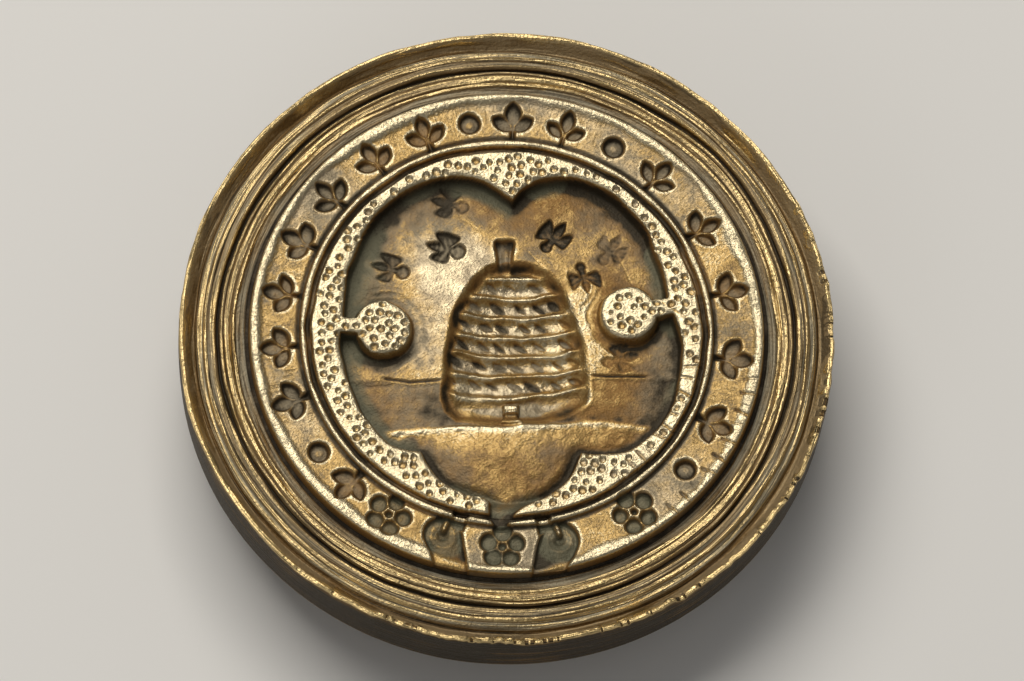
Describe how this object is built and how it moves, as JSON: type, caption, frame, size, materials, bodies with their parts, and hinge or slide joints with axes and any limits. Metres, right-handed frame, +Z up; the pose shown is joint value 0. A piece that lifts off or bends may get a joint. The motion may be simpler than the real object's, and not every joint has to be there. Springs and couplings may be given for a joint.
{
  "type": "hand seal",
  "caption": "Round brass hand seal: an engraved beehive die soldered into a moulded cup, with a trefoil handle hinged on its back that folds flat.",
  "frame": {"origin": "centre of the bottom of the seal as it lies on its folded handle", "axes": "+Z up out of the engraved face, +Y towards the top of the engraved design and the end of the folded handle, +X along the hinge pin"},
  "size_m": [0.034, 0.034, 0.008],
  "materials": {
    "cup_brass": "turned, with grey-brown patina in the mouldings",
    "solder": "dull grey soft solder",
    "die_brass": "worn bright on top, dark in the engraving",
    "hinge_brass": "aged brass",
    "handle_brass": "cast and filed brass, rubbed bright on its edges"
  },
  "bodies": {
    "seal": {"moulded_cup": "cup_brass", "solder_seam": "solder", "seal_die": "die_brass", "hinge_lug_left": "hinge_brass", "hinge_lug_right": "hinge_brass", "hinge_pin": "hinge_brass"},
    "handle": {"folding_handle": "handle_brass"}
  },
  "joints": [
    {"name": "handle_fold", "type": "hinge", "parent": "seal", "child": "handle", "pos_m": [0, 0, 0.0015], "axis": [-1, 0, 0], "range_deg": [0, 180]}
  ]
}
